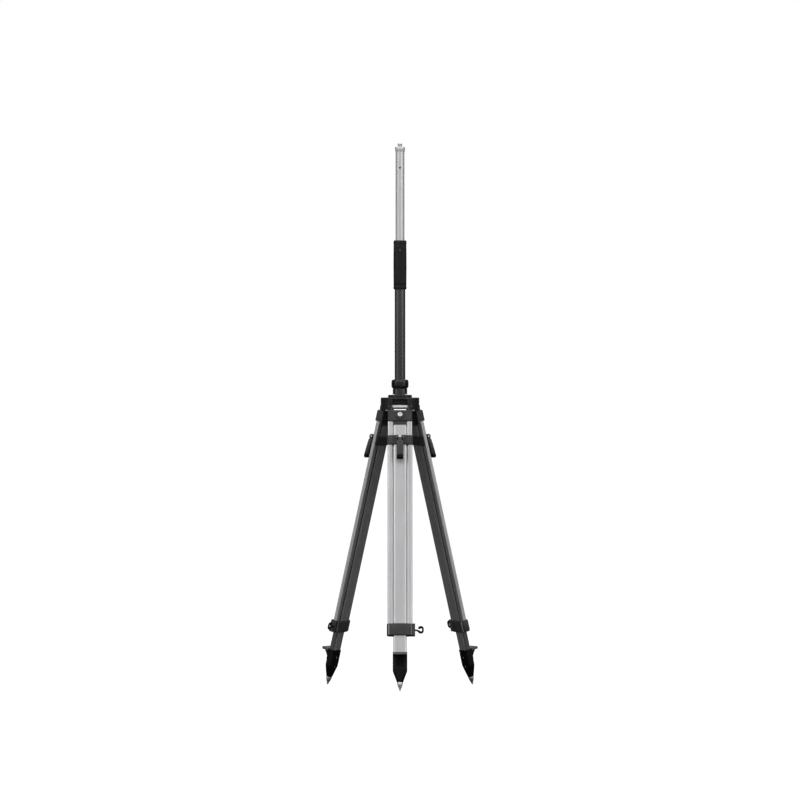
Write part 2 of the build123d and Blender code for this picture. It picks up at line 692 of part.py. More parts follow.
def make_foot(leg, name):
    with BuildPart() as shoe:
        with BuildSketch(across(leg, SHOE_TAPER)):
            RectangleRounded(SHOE_DEPTH, SHOE_WIDTH, 7.0)
        extrude(amount=SHOE_TAPER - SHOE_TOP)
        with BuildSketch(across(leg, SHOE_TAPER)):
            RectangleRounded(SHOE_DEPTH, SHOE_WIDTH, 7.0)
        with BuildSketch(across(leg, SHOE_END)):
            RectangleRounded(2 * SPIKE_RADIUS, 2 * SPIKE_RADIUS + 2.0, 7.0)
        loft()
        with BuildSketch(across(leg, INNER_LEG_END)):
            RectangleRounded(INNER_LEG_DEPTH, INNER_LEG_WIDTH, 6.0)
        extrude(amount=INNER_LEG_END - SHOE_TOP, mode=Mode.SUBTRACT)
        with BuildSketch(across(leg, SHOE_END)):
            Circle(5.0)
        extrude(amount=26.0, mode=Mode.SUBTRACT)
    save(shoe, f"foot_shoe_{name}")

    with BuildPart() as spike:
        with BuildSketch(side(leg)):
            Polygon(
                (0, -SHOE_END + 26.0),
                (5.0, -SHOE_END + 26.0),
                (5.0, -SHOE_END),
                (SPIKE_RADIUS - 0.6, -SHOE_END),
                (SPIKE_RADIUS - 0.6, -SHOE_END - 3.0),
                (8.7, -SHOE_END - 7.5),
                (6.7, -SHOE_END - 13.0),
                (4.7, -SHOE_END - 18.0),
                (3.1, -SHOE_END - 23.0),
                (TIP_RADIUS, -TIP_AT),
                (0, -TIP_AT),
                align=None,
            )
        revolve(axis=Axis(leg.origin, leg.z_dir))
    save(spike, f"spike_{name}")

    # Step for the boot: a plate against the shoe, a ledge, and a gusset under the ledge.
    plate_from = SHOE_DEPTH / 2
    ledge_at = SHOE_TOP
    with BuildPart() as tread:
        with BuildSketch(face(leg, plate_from)):
            with Locations((0, -ledge_at - 19.0)):
                RectangleRounded(SHOE_WIDTH - 12.0, 42.0, 4.0)
        extrude(amount=2.5)
        with BuildSketch(across(leg, ledge_at + TREAD_THICKNESS)):
            with Locations((plate_from + TREAD_REACH / 2, 0)):
                RectangleRounded(TREAD_REACH, SHOE_WIDTH, 4.0)
        extrude(amount=TREAD_THICKNESS)
        with BuildSketch(side(leg)):
            Polygon(
                (plate_from + 1.0, -ledge_at - 2.0),
                (plate_from + TREAD_REACH - 3.0, -ledge_at - 2.0),
                (plate_from + TREAD_REACH - 5.0, -ledge_at - 11.0),
                (plate_from + 1.0, -ledge_at - 39.5),
                align=None,
            )
        extrude(amount=3.0, both=True)
    save(tread, f"foot_tread_{name}")


os.makedirs("parts", exist_ok=True)
make_head()
make_pole_base()
make_pole()
for leg_name, azimuth in LEG_AZIMUTHS.items():
    frame = leg_frame(azimuth)
    for make in (
        make_axle,
        make_casting,
        make_cap_bolt,
        make_rails,
        make_upper_band,
        make_brake_pad,
        make_lever,
        make_lever_pin,
        make_lower_clamp,
        make_wing_screw,
        make_inner_leg,
        make_foot,
    ):
        make(frame, leg_name)
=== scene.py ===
"""Survey tripod with a telescopic pole: materials, detailed pieces, light and camera round the CAD frame."""

import json
import math

import bmesh
import bpy
from mathutils import Matrix, Vector


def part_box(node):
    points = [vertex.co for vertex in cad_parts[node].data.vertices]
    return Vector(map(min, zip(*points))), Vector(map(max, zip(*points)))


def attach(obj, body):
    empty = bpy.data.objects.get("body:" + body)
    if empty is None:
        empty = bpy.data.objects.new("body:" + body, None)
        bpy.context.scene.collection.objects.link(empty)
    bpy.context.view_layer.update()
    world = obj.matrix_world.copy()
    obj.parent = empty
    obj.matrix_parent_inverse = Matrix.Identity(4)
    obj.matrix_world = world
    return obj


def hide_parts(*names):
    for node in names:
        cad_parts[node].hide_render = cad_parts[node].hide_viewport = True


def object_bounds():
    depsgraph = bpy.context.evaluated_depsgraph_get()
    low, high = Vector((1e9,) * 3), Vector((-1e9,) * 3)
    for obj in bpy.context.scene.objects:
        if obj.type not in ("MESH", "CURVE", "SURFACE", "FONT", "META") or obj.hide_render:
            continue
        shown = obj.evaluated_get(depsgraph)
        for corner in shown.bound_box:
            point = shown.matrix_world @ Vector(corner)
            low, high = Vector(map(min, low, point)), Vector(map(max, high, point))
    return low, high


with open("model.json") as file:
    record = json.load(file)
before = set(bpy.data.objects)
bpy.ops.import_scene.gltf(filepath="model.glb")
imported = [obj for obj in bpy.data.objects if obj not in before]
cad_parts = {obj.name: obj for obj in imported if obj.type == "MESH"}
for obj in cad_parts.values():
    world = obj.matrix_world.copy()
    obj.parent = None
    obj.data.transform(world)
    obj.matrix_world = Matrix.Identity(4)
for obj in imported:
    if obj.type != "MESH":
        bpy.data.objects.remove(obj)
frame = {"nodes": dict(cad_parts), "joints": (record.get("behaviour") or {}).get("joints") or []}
cad_low, cad_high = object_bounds()

LEGS = ("front", "right", "left")
MM = 0.001
JOINTS = {joint["name"]: joint for joint in frame["joints"]}
SHARP_ANGLE = math.radians(32)

pole_low, pole_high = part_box("carbon_tube")
POLE_Y = (pole_low.y + pole_high.y) / 2
POLE_RADIUS = (pole_high.x - pole_low.x) / 2


# Leg coordinates: x outward, y along the hinge axle, z up the leg, with the axle at the origin


def leg_matrix(leg):
    spread, slide = JOINTS[f"leg_spread_{leg}"], JOINTS[f"leg_slide_{leg}"]
    sideways = -Vector(spread["axis"]).normalized()
    upward = -Vector(slide["axis"]).normalized()
    outward = sideways.cross(upward)
    turn = Matrix((outward, sideways, upward)).transposed().to_4x4()
    return Matrix.Translation(Vector(spread["pos_m"])) @ turn


LEG_MATRIX = {leg: leg_matrix(leg) for leg in LEGS}


def leg_box(node):
    """Lowest and highest corner of the front leg's CAD node, in leg coordinates; the legs are alike."""
    inverse = LEG_MATRIX["front"].inverted()
    points = [inverse @ vertex.co for vertex in frame["nodes"][f"{node}_front"].data.vertices]
    low = Vector([min(point[axis] for point in points) for axis in range(3)])
    high = Vector([max(point[axis] for point in points) for axis in range(3)])
    return low, high


# Materials


class Nodes:
    """A material's node tree, with short ways to add and link what the finishes below share."""

    def __init__(self, name, roughness, metallic=0.0, specular=0.5):
        self.material = bpy.data.materials.new(name)
        self.material.use_nodes = True
        self.tree = self.material.node_tree
        self.shader = self.tree.nodes["Principled BSDF"]
        self.shader.inputs["Roughness"].default_value = roughness
        self.shader.inputs["Metallic"].default_value = metallic
        self.shader.inputs["Specular IOR Level"].default_value = specular

    def add(self, kind, **values):
        node = self.tree.nodes.new(kind)
        for key, value in values.items():
            if hasattr(node, key):
                setattr(node, key, value)
            else:
                node.inputs[key.replace("_", " ")].default_value = value
        return node

    def link(self, output, target):
        self.tree.links.new(output, target)

    def drive(self, name, output):
        """Feeds one of the shader's inputs."""
        self.link(output, self.shader.inputs[name])

    def place(self, turn=None, scale=(1.0, 1.0, 1.0)):
        """Object coordinates, turned into a leg's own and scaled."""
        coordinates = self.add("ShaderNodeTexCoord")
        turned = self.add("ShaderNodeMapping")
        if turn is not None:
            turned.inputs["Rotation"].default_value = turn.inverted().to_euler("XYZ")
        self.link(coordinates.outputs["Object"], turned.inputs["Vector"])
        scaled = self.add("ShaderNodeMapping")
        scaled.inputs["Scale"].default_value = scale
        self.link(turned.outputs["Vector"], scaled.inputs["Vector"])
        return scaled.outputs["Vector"]

    def leg_distance(self, leg, axis):
        """How far a point lies from a leg's origin along its x, outward, or its y, along the hinge axle."""
        matrix = LEG_MATRIX[leg]
        turn = matrix.to_3x3()
        origin = turn.inverted() @ matrix.translation
        split = self.add("ShaderNodeSeparateXYZ")
        self.link(self.place(turn), split.inputs["Vector"])
        offset = self.math("SUBTRACT", split.outputs[axis.upper()], getattr(origin, axis))
        return self.math("ABSOLUTE", offset)

    def noise(self, where, scale, detail, roughness=0.5):
        noise = self.add("ShaderNodeTexNoise", Scale=scale, Detail=detail, Roughness=roughness)
        self.link(where, noise.inputs["Vector"])
        return noise.outputs["Fac"]

    def ramp(self, factor, *stops):
        """Blends colours at the given places; a stop is (place, grey or colour)."""
        ramp = self.add("ShaderNodeValToRGB")
        elements = ramp.color_ramp.elements
        while len(elements) < len(stops):
            elements.new(0.5)
        for element, (place, colour) in zip(elements, stops):
            element.position = place
            if not isinstance(colour, tuple):
                colour = (colour, colour, colour)
            element.color = (*colour, 1.0)
        self.link(factor, ramp.inputs["Fac"])
        return ramp.outputs["Color"]

    def math(self, operation, first, second=None):
        """A math node's result; each operand is a number or a linked output."""
        node = self.add("ShaderNodeMath", operation=operation)
        for socket, value in zip(node.inputs, (first, second)):
            if isinstance(value, (int, float)):
                socket.default_value = value
            elif value is not None:
                self.link(value, socket)
        return node.outputs["Value"]

    def mix(self, factor, colour, other):
        """A linked colour where the factor is 0, and the other, plain one where it is 1."""
        mix = self.add("ShaderNodeMix", data_type="RGBA")
        self.link(factor, mix.inputs[0])
        self.link(colour, mix.inputs[6])
        mix.inputs[7].default_value = (*other, 1.0)
        return mix.outputs[2]

    def bump(self, height, strength, distance):
        bump = self.add("ShaderNodeBump", Strength=strength, Distance=distance)
        self.link(height, bump.inputs["Height"])
        self.link(bump.outputs["Normal"], self.shader.inputs["Normal"])


# Painted shadow in a leg's seams and creases: their distance from its middle planes, and half their widths
JOINT_ACROSS, JOINT_HALF = 22.1 * MM, 1.7 * MM
CORNER_DEPTH, CORNER_HALF = 6.6 * MM, 0.8 * MM
FLANK_ACROSS, GROOVE_HALF = 39.2 * MM, 1.0 * MM
FLANK_SHADE = 0.65


def seam_shade(nodes, leg):
    """Mask of painted shadow: 1 in the joints between rails and inner leg; less at the corners and down the
    middle of the flanks.
    """
    depth, across = nodes.leg_distance(leg, "x"), nodes.leg_distance(leg, "y")
    from_joint = nodes.math("ABSOLUTE", nodes.math("SUBTRACT", across, JOINT_ACROSS))
    joint = nodes.math("LESS_THAN", from_joint, JOINT_HALF)
    from_corner = nodes.math("ABSOLUTE", nodes.math("SUBTRACT", depth, CORNER_DEPTH))
    corner = nodes.math("LESS_THAN", from_corner, CORNER_HALF)
    groove = nodes.math("LESS_THAN", depth, GROOVE_HALF)
    flank = nodes.math("GREATER_THAN", across, FLANK_ACROSS)
    lines = nodes.math("MULTIPLY", nodes.math("MAXIMUM", corner, groove), FLANK_SHADE)
    return nodes.math("MAXIMUM", joint, nodes.math("MULTIPLY", flank, lines))


def aluminium(
    name, tone, metallic, leg=None, streak=(900.0, 900.0, 6.0), relief=0.12, contrast=1.0, scuffing=0.16
):
    """Satin anodised metal, with lines along its length and faint clouds; a leg's has painted shadow in its
    seams too.
    """
    nodes = Nodes(name, 0.34, metallic=metallic)
    turn = None if leg is None else LEG_MATRIX[leg].to_3x3()
    lines = nodes.noise(nodes.place(turn, streak), 1.0, detail=2.0)
    clouds = nodes.noise(nodes.place(turn, (1.0, 1.0, 0.35)), 22.0, detail=5.0)
    scuffs = nodes.noise(nodes.place(turn, (1.0, 1.0, 0.6)), 160.0, detail=6.0, roughness=0.7)
    mixed = nodes.math("ADD", nodes.math("MULTIPLY", lines, 0.45), nodes.math("MULTIPLY", clouds, 0.55))
    dark = tuple(tone * (1 - change * contrast) for change in (0.12, 0.115, 0.10))
    light = tuple(tone * (1 + change * contrast) for change in (0.07, 0.075, 0.09))
    colour = nodes.ramp(mixed, (0.30, dark), (0.70, light))
    if leg is not None:
        # Painted shadow: the leg's joints, rail corners and flank middles turn near black
        colour = nodes.mix(seam_shade(nodes, leg), colour, (0.085, 0.085, 0.088))
    nodes.drive("Base Color", colour)
    worn = nodes.math("ADD", nodes.math("MULTIPLY", mixed, 0.18), nodes.math("MULTIPLY", scuffs, scuffing))
    nodes.drive("Roughness", nodes.math("ADD", worn, 0.28 - scuffing / 2))
    nodes.bump(lines, relief, 0.2 * MM)
    return nodes.material


def painted_casting(name, tone, roughness, wear, grain=900.0, specular=0.30):
    """Powder-coated casting: an orange-peel skin, with slightly paler, rubbed places."""
    nodes = Nodes(name, roughness, specular=specular)
    peel = nodes.noise(nodes.place(), grain, detail=3.0)
    patches = nodes.noise(nodes.place(), 38.0, detail=6.0, roughness=0.65)
    rubbed = nodes.ramp(patches, (0.42, tone * 0.85), (0.62, tone * 1.05), (0.80, tone * (1.0 + wear)))
    nodes.drive("Base Color", rubbed)
    rough = nodes.math("ADD", nodes.math("MULTIPLY", patches, -0.22), roughness + 0.12)
    nodes.drive("Roughness", rough)
    nodes.bump(peel, 0.35, 0.35 * MM)
    return nodes.material


def moulded_plastic(name, tone, roughness, specular=0.25):
    """Glass-filled moulding with a fine spark-eroded texture and dusty, slightly polished zones."""
    nodes = Nodes(name, roughness, specular=specular)
    grain = nodes.noise(nodes.place(), 1600.0, detail=2.0, roughness=0.6)
    dust = nodes.noise(nodes.place(), 30.0, detail=7.0, roughness=0.7)
    colour = nodes.ramp(dust, (0.35, tone * 0.8), (0.60, tone), (0.78, tone * 1.5 + 0.002))
    nodes.drive("Base Color", colour)
    rough = nodes.math("ADD", nodes.math("MULTIPLY", dust, 0.24), roughness - 0.12)
    nodes.drive("Roughness", rough)
    nodes.bump(grain, 0.30, 0.25 * MM)
    return nodes.material


def turned_steel(name, tone, roughness, relief=0.15):
    """Plated steel with fine turning marks and dull spots."""
    nodes = Nodes(name, roughness, metallic=1.0)
    marks = nodes.noise(nodes.place(scale=(180.0, 180.0, 2600.0)), 1.0, detail=2.0)
    spots = nodes.noise(nodes.place(), 90.0, detail=6.0, roughness=0.7)
    colour = nodes.ramp(spots, (0.30, tone * 0.80), (0.55, tone), (0.75, min(1.0, tone * 1.1)))
    nodes.drive("Base Color", colour)
    rough = nodes.math("ADD", nodes.math("MULTIPLY", spots, 0.30), roughness - 0.12)
    nodes.drive("Roughness", rough)
    nodes.bump(marks, relief, 0.1 * MM)
    return nodes.material


# Beyond this distance from its middle, a hinge axle's colour is painted dark as shade
AXLE_BRIGHT_HALF = 31.0 * MM


def axle_steel(leg):
    """Dull zinc on a hinge axle, with painted shade darkening its ends."""
    nodes = Nodes(f"axle_steel_{leg}", 0.55, metallic=0.35)
    # Painted shade: the axle's ends get a near-black colour in place of their glints
    ends = nodes.math("GREATER_THAN", nodes.leg_distance(leg, "y"), AXLE_BRIGHT_HALF)
    spots = nodes.noise(nodes.place(), 140.0, detail=5.0, roughness=0.65)
    zinc = nodes.ramp(spots, (0.30, 0.72), (0.60, 0.84), (0.80, 0.90))
    nodes.drive("Base Color", nodes.mix(ends, zinc, (0.05, 0.05, 0.052)))
    return nodes.material


def carbon_weave(name):
    """Clear-coated twill: tows 3.5 mm wide, whose diagonals rise to the right."""
    tow = 3.5 * MM
    nodes = Nodes(name, 0.38)
    coordinates = nodes.add("ShaderNodeTexCoord")
    split = nodes.add("ShaderNodeSeparateXYZ")
    nodes.link(coordinates.outputs["Object"], split.inputs["Vector"])
    depth = nodes.math("SUBTRACT", split.outputs["Y"], POLE_Y)
    angle = nodes.math("ARCTAN2", depth, split.outputs["X"])
    around_count = round(math.tau * POLE_RADIUS / tow / 4) * 4
    around = nodes.math("MULTIPLY", angle, around_count / math.tau)
    along = nodes.math("MULTIPLY", split.outputs["Z"], 1 / tow)
    step = nodes.math("SUBTRACT", nodes.math("FLOOR", along), nodes.math("FLOOR", around))
    over = nodes.math("LESS_THAN", nodes.math("FLOORED_MODULO", step, 4.0), 2.0)

    def crown(position):
        """Rounded height across one tow."""
        fraction = nodes.math("FRACT", position)
        return nodes.math("SINE", nodes.math("MULTIPLY", fraction, math.pi))

    warp, weft = crown(around), crown(along)
    height = nodes.add("ShaderNodeMix", data_type="FLOAT")
    nodes.link(over, height.inputs[0])
    nodes.link(weft, height.inputs[2])
    nodes.link(warp, height.inputs[3])
    fibres = nodes.noise(nodes.place(scale=(1.0, 1.0, 0.12)), 4200.0, detail=1.0)
    relief = nodes.math("MULTIPLY", height.outputs[0], 0.20)
    bright = nodes.math("ADD", nodes.math("MULTIPLY", over, 0.60), relief)
    bright = nodes.math("ADD", bright, nodes.math("MULTIPLY", fibres, 0.20))
    colour = nodes.ramp(bright, (0.10, 0.001), (0.50, (0.006, 0.006, 0.007)), (0.90, (0.026, 0.027, 0.029)))
    nodes.drive("Base Color", colour)
    nodes.shader.inputs["Specular IOR Level"].default_value = 0.2
    nodes.shader.inputs["Coat Weight"].default_value = 1.0
    nodes.shader.inputs["Coat IOR"].default_value = 1.65
    nodes.shader.inputs["Coat Roughness"].default_value = 0.12
    nodes.bump(height.outputs[0], 0.25, 0.2 * MM)
    return nodes.material


def soft_grip(name):
    """Soft-touch rubbery moulding, matt, with a fine leather-like grain."""
    nodes = Nodes(name, 0.62, specular=0.25)
    pebbles = nodes.add("ShaderNodeTexVoronoi", Scale=950.0)
    nodes.link(nodes.place(), pebbles.inputs["Vector"])
    patches = nodes.noise(nodes.place(), 34.0, detail=6.0, roughness=0.65)
    colour = nodes.ramp(patches, (0.35, 0.008), (0.60, 0.011), (0.80, 0.020))
    nodes.drive("Base Color", colour)
    rough = nodes.math("ADD", nodes.math("MULTIPLY", patches, 0.25), 0.42)
    nodes.drive("Roughness", rough)
    nodes.bump(pebbles.outputs["Distance"], 0.35, 0.3 * MM)
    return nodes.material


HEAD_BLACK = painted_casting("head_black", 0.014, roughness=0.42, wear=0.9)
CLAMP_GREY = painted_casting("clamp_grey", 0.043, roughness=0.45, wear=0.6)
NECK_GREY = painted_casting("neck_grey", 0.008, roughness=0.16, wear=0.6, specular=1.0)
COLLAR_BLACK = moulded_plastic("collar_black", 0.007, 0.28, specular=0.5)
STEEL = turned_steel("steel", 0.50, 0.36)
BRIGHT_STEEL = turned_steel("bright_steel", 0.86, 0.24)
THREAD_STEEL = turned_steel("thread_steel", 0.60, 0.46, relief=0.03)
SPIKE_STEEL = turned_steel("spike_steel", 0.80, 0.44, relief=0.03)
INNER_PLASTIC = moulded_plastic("inner_plastic", 0.06, 0.5)
LEVER_PLASTIC = moulded_plastic("lever_plastic", 0.060, 0.40)
LEVER_TIP = moulded_plastic("lever_tip", 0.004, 0.5, specular=0.12)
# Pale paint on the clamps' beads and studs is a painted highlight; its rubbed patches are wear, as on the
# other castings
PAINTED_BEAD_HIGHLIGHT = painted_casting("painted_bead_highlight", 0.30, grain=700.0, roughness=0.42, wear=0.4)
WING_BLACK = moulded_plastic("wing_black", 0.004, 0.42, specular=0.12)
SHOE_BLACK = moulded_plastic("shoe_black", 0.004, 0.46, specular=0.12)
TREAD_GREY = painted_casting("tread_grey", 0.10, grain=700.0, roughness=0.5, wear=0.5)
BUTTON_GREY = moulded_plastic("button_grey", 0.05, 0.4)
CARBON = carbon_weave("carbon_fibre")
GRIP = soft_grip("grip_black")
CLEAN = {"relief": 0.0, "contrast": 0.25, "scuffing": 0.03}
TUBE_ALUMINIUM = aluminium("tube_aluminium", 0.70, 0.5, streak=(220.0, 220.0, 2.0), **CLEAN)
CAP_ALUMINIUM = aluminium("cap_aluminium", 0.78, 0.3, **CLEAN)
LEG_ALUMINIUM = {leg: aluminium(f"leg_aluminium_{leg}", 0.55, 0.80, leg) for leg in LEGS}


def dress(node, material):
    """Gives a CAD node its finish, in every slot of its mesh."""
    mesh = frame["nodes"][node].data
    if not mesh.materials:
        mesh.materials.append(material)
    for index in range(len(mesh.materials)):
        mesh.materials[index] = material


FIXED_FINISHES = {
    "tripod_head": HEAD_BLACK,
    "base_flange": HEAD_BLACK,
    "socket_neck": NECK_GREY,
    "locking_collar": COLLAR_BLACK,
    "flange_screws": BRIGHT_STEEL,
    "clamp_sleeve": INNER_PLASTIC,
    "tube_bushing": INNER_PLASTIC,
    "upper_tube_plug": INNER_PLASTIC,
    "button_spring": STEEL,
    "snap_button": BUTTON_GREY,
    "carbon_tube": CARBON,
    "grip": GRIP,
    "upper_tube": TUBE_ALUMINIUM,
    "top_cap": CAP_ALUMINIUM,
    "top_stud": STEEL,
}
LEG_FINISHES = {
    "cap_bolt": BRIGHT_STEEL,
    "lever_pin": BRIGHT_STEEL,
    "leg_casting": CLAMP_GREY,
    "upper_band": CLAMP_GREY,
    "lower_clamp": CLAMP_GREY,
    "brake_pad": INNER_PLASTIC,
    "guide_shoe": INNER_PLASTIC,
    "cam_lever": LEVER_PLASTIC,
    "wing_screw": WING_BLACK,
    "foot_shoe": SHOE_BLACK,
    "foot_tread": TREAD_GREY,
    "spike": SPIKE_STEEL,
}
for node_name, finish in FIXED_FINISHES.items():
    dress(node_name, finish)
for leg_name in LEGS:
    for node_name, finish in LEG_FINISHES.items():
        dress(f"{node_name}_{leg_name}", finish)
    dress(f"hinge_axle_{leg_name}", axle_steel(leg_name))
    for node_name in ("leg_rails", "inner_leg"):
        dress(f"{node_name}_{leg_name}", LEG_ALUMINIUM[leg_name])


# Mesh building, in metres

ACROSS, FACE, SIDE = "across", "face", "side"


def rounded_rectangle(width, height, radius, steps=6, centre=(0.0, 0.0)):
    """Outline points of a rectangle with round corners, anticlockwise."""
    points = []
    corners = ((1, 1, 0), (-1, 1, 90), (-1, -1, 180), (1, -1, 270))
    for across, along, start in corners:
        middle_x = centre[0] + across * (width / 2 - radius)
        middle_y = centre[1] + along * (height / 2 - radius)
        for step in range(steps + 1):
            angle = math.radians(start + 90.0 * step / steps)
            points.append((middle_x + radius * math.cos(angle), middle_y + radius * math.sin(angle)))
    return points


def circle(radius, steps, centre=(0.0, 0.0)):
    turns = [math.tau * step / steps for step in range(steps)]
    return [(centre[0] + radius * math.cos(turn), centre[1] + radius * math.sin(turn)) for turn in turns]


def squared(share, power):
    """A sine or cosine that, at a power below 1, fills out the corners of an oval."""
    return math.copysign(abs(share) ** power, share)


def placed(kind, first, second, third):
    """A point of an outline in leg coordinates: third is the height above the outline's plane."""
    return {
        ACROSS: Vector((first, second, third)),
        FACE: Vector((third, first, second)),
        SIDE: Vector((first, third, second)),
    }[kind]


def prism(outline, kind, start, end):
    """Closed prism of an outline, as a bmesh."""
    return loft([[placed(kind, *point, level) for point in outline] for level in (start, end)])


def loft(rings, closed=False):
    """Surface through rings of equally many points, with flat caps unless the last ring joins the first."""
    shape = bmesh.new()
    made = [[shape.verts.new(point) for point in ring] for ring in rings]
    count = len(rings[0])
    for lower, upper in zip(made, made[1:] + made[:1] if closed else made[1:]):
        for index in range(count):
            following = (index + 1) % count
            shape.faces.new((lower[index], lower[following], upper[following], upper[index]))
    if not closed:
        shape.faces.new(made[0])
        shape.faces.new(made[-1])
    bmesh.ops.recalc_face_normals(shape, faces=shape.faces)
    return shape


def gather(target, shape):
    """Adds a shape to a growing one, and frees it."""
    spare = bpy.data.meshes.new("spare")
    shape.to_mesh(spare)
    shape.free()
    target.from_mesh(spare)
    bpy.data.meshes.remove(spare)


def to_object(name, shape):
    mesh = bpy.data.meshes.new(name)
    shape.to_mesh(mesh)
    shape.free()
    made = bpy.data.objects.new(name, mesh)
    bpy.context.scene.collection.objects.link(made)
    return made


def combine(target, other, operation):
    """Unites, cuts or intersects an object with a shape; the result becomes the object's mesh."""
    tool = to_object("tool", other)
    modifier = target.modifiers.new("combine", "BOOLEAN")
    modifier.operation = operation
    modifier.object = tool
    modifier.solver = "EXACT"
    settle(target)
    tool_mesh = tool.data
    bpy.data.objects.remove(tool)
    bpy.data.meshes.remove(tool_mesh)


def settle(target):
    """Applies the object's modifiers to its mesh."""
    graph = bpy.context.evaluated_depsgraph_get()
    solid = bpy.data.meshes.new_from_object(target.evaluated_get(graph))
    old = target.data
    target.modifiers.clear()
    target.data = solid
    bpy.data.meshes.remove(old)


def round_edges(target, width, segments, angle):
    """Rounds the edges that turn by more than the angle, in degrees."""
    bevel = target.modifiers.new("bevel", "BEVEL")
    bevel.width = width
    bevel.segments = segments
    bevel.limit_method = "ANGLE"
    bevel.angle_limit = math.radians(angle)
    bevel.use_clamp_overlap = True
    settle(target)


def shade(mesh):
    """Smooth shading that breaks at sharp edges."""
    shape = bmesh.new()
    shape.from_mesh(mesh)
    bmesh.ops.remove_doubles(shape, verts=shape.verts, dist=1e-6)
    bmesh.ops.recalc_face_normals(shape, faces=shape.faces)
    for face in shape.faces:
        face.smooth = True
    for edge in shape.edges:
        edge.smooth = not (edge.is_manifold and edge.calc_face_angle(0.0) > SHARP_ANGLE)
    shape.to_mesh(mesh)
    shape.free()


def fit_out(piece, material, body, node=None):
    """Gives a finished piece its material and its body, and hides the CAD node that it stands for."""
    piece.data.materials.clear()
    piece.data.materials.append(material)
    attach(piece, body)
    if node is not None:
        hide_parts(node)


def on_each_leg(template, name, material, body, node=None):
    """Copies a piece made in leg coordinates onto all three legs."""
    shade(template.data)
    for leg in LEGS:
        mesh = template.data.copy()
        mesh.transform(LEG_MATRIX[leg])
        piece = bpy.data.objects.new(f"{name}_{leg}", mesh)
        bpy.context.scene.collection.objects.link(piece)
        fit_out(piece, material, f"{body}_{leg}", node and f"{node}_{leg}")
    spare = template.data
    bpy.data.objects.remove(template)
    bpy.data.meshes.remove(spare)


def on_pole(piece, material, body, node):
    shade(piece.data)
    fit_out(piece, material, body, node)


# Pieces of the pole


def make_collar_piece():
    """Hand-tightened collar: six soft lobes, well rounded at the top and the bottom."""
    low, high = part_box("locking_collar")
    outer = (high.x - low.x) / 2
    bore = POLE_RADIUS + 0.3 * MM
    height = high.z - low.z
    lobes, points_round = 6, 192
    valley, end_face, recess = 3.4 * MM, 3.4 * MM, 0.72

    def ring(level, radius, depth):
        """One turn; depth is how far the valleys between the lobes go in."""
        points = []
        for step in range(points_round):
            angle = math.tau * step / points_round
            wave = 0.5 - 0.5 * math.cos(lobes * angle)
            reach = radius - depth * wave**1.5
            points.append(Vector((reach * math.cos(angle), POLE_Y + reach * math.sin(angle), level)))
        return points

    profile = [(0.0, 5.6), (0.01, 4.6), (0.04, 3.2), (0.09, 1.8), (0.16, 0.7), (0.24, 0.1), (0.32, 0.0)]
    profile += [(1.0 - share, inset) for share, inset in reversed(profile)]
    rings = [ring(low.z, bore + end_face, 0.0)]
    for share, inset in profile:
        rings.append(ring(low.z + height * share, outer - inset * MM, valley * (1.0 - 0.08 * inset)))
    rings += [ring(high.z, bore, 0.0), ring(low.z + height * recess, bore, 0.0)]
    on_pole(to_object("collar_shell", loft(rings, closed=True)), COLLAR_BLACK, "collar", "locking_collar")


def make_grip_piece():
    """Softly swollen grip with rounded ends, a band at each end and a shallow round seat for the button."""
    low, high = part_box("grip")
    half_width, half_depth = (high.x - low.x) / 2, (high.y - low.y) / 2
    height = high.z - low.z
    squareness, points_round = 2 / 2.9, 96
    swell, swell_steps = 0.55, 20
    seat_radius, seat_depth = 6.2 * MM, 0.9 * MM

    def section(level, inset):
        points = []
        for step in range(points_round):
            angle = math.tau * step / points_round
            x = squared(math.cos(angle), squareness) * (half_width - inset)
            y = squared(math.sin(angle), squareness) * (half_depth - inset)
            points.append(Vector((x, POLE_Y + y, level)))
        return points

    profile = [(0.0, 3.4), (0.002, 2.2), (0.008, 1.0), (0.018, 0.35), (0.030, 0.15)]
    profile += [(0.075, 0.15), (0.082, 0.9), (0.090, 0.9), (0.097, 0.35)]
    for step in range(1, swell_steps):
        turn = math.pi * step / swell_steps
        profile.append((0.10 + 0.80 * step / swell_steps, swell * (1.0 - math.sin(turn))))
    profile += [(0.903, 0.35), (0.910, 0.9), (0.918, 0.9), (0.925, 0.15)]
    profile += [(0.970, 0.15), (0.982, 0.35), (0.992, 1.0), (0.998, 2.2), (1.0, 3.4)]
    sections = [section(low.z + height * share, inset * MM) for share, inset in profile]
    body = to_object("grip_shell", loft(sections))
    tube_low, tube_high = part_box("upper_tube")
    bore = (tube_high.x - tube_low.x) / 2 + 0.45 * MM
    hole = prism(circle(bore, 64, (0.0, POLE_Y)), ACROSS, low.z - 10 * MM, high.z + 10 * MM)
    combine(body, hole, "DIFFERENCE")
    button_low, button_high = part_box("snap_button")
    middle = (button_low.z + button_high.z) / 2
    seat = prism(circle(seat_radius, 48, (0.0, middle)), SIDE, low.y - 10 * MM, low.y + seat_depth)
    combine(body, seat, "DIFFERENCE")
    on_pole(body, GRIP, "pole", "grip")


